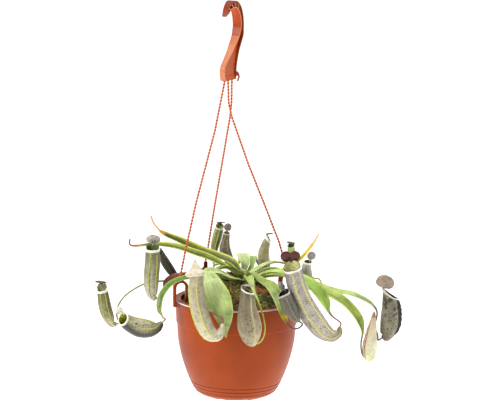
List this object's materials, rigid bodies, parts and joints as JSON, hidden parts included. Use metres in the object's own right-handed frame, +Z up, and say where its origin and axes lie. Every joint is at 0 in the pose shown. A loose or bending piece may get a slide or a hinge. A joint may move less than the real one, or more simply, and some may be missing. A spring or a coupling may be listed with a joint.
{
  "type": "hanging pitcher plant",
  "caption": "Tropical pitcher plant in a collared hanging pot: strap leaves end in tendrils with lidded pitchers, carried by twisted strands from a ribbed hook",
  "frame": {"origin": "the crown of the hook, on its inner curve, where a rail bears", "axes": "+Z up; -Y towards the viewer, the side the front pitchers hang on; +X to the viewer's right"},
  "size_m": [0.3446, 0.1716, 0.443],
  "materials": {
    "bark": "matte",
    "hanger_plastic": "satin",
    "leaf_dark": "satin",
    "leaf_dry": "satin",
    "leaf_green": "satin",
    "leaf_pale": "satin",
    "moss": "matte",
    "pitcher_brown": "satin",
    "pitcher_cream": "satin",
    "pitcher_green": "satin",
    "pitcher_grey": "satin",
    "pitcher_olive": "satin",
    "pitcher_pale": "satin",
    "pot_plastic": "satin",
    "potting_mix": "matte",
    "stem_green": "satin",
    "strand_cord": "matte"
  },
  "bodies": {
    "root": {"bark_chip_front": "bark", "bark_chip_left": "bark", "clip_back_left": "hanger_plastic", "clip_left": "hanger_plastic", "clip_right": "hanger_plastic", "hanger_hook": "hanger_plastic", "leaf_back_left": "leaf_dark", "leaf_back_small": "leaf_dark", "leaf_centre_upright": "leaf_pale", "leaf_front": "leaf_green", "leaf_front_left": "leaf_pale", "leaf_left_curled": "leaf_dark", "leaf_left_dried": "leaf_dry", "leaf_left_hanging": "leaf_green", "leaf_left_long": "leaf_green", "leaf_left_lower": "leaf_green", "leaf_left_trailing": "leaf_dark", "leaf_left_withered": "leaf_dry", "leaf_right_arching": "leaf_green", "leaf_right_back": "leaf_green", "leaf_right_front": "leaf_green", "leaf_right_inner": "leaf_dark", "leaf_right_rear": "leaf_dark", "leaf_right_short": "leaf_green", "leaf_right_upper": "leaf_pale", "leaf_right_yellow": "leaf_dry", "moss_front": "moss", "moss_left": "moss", "moss_right": "moss", "pitcher_back_brown": "pitcher_brown", "pitcher_back_centre": "pitcher_olive", "pitcher_back_green": "pitcher_green", "pitcher_back_small": "pitcher_green", "pitcher_bud": "pitcher_cream", "pitcher_far_left": "pitcher_olive", "pitcher_far_right": "pitcher_grey", "pitcher_front": "pitcher_olive", "pitcher_front_left": "pitcher_pale", "pitcher_front_right": "pitcher_grey", "pitcher_left_lying": "pitcher_grey", "pitcher_left_upright": "pitcher_pale", "pitcher_left_withered": "pitcher_brown", "pitcher_right_back": "pitcher_olive", "pitcher_right_grey": "pitcher_grey", "pot": "pot_plastic", "potting_mix": "potting_mix", "stem": "stem_green", "strand_back_left": "strand_cord", "strand_knot": "strand_cord", "strand_left": "strand_cord", "strand_right": "strand_cord"}
  },
  "joints": []
}
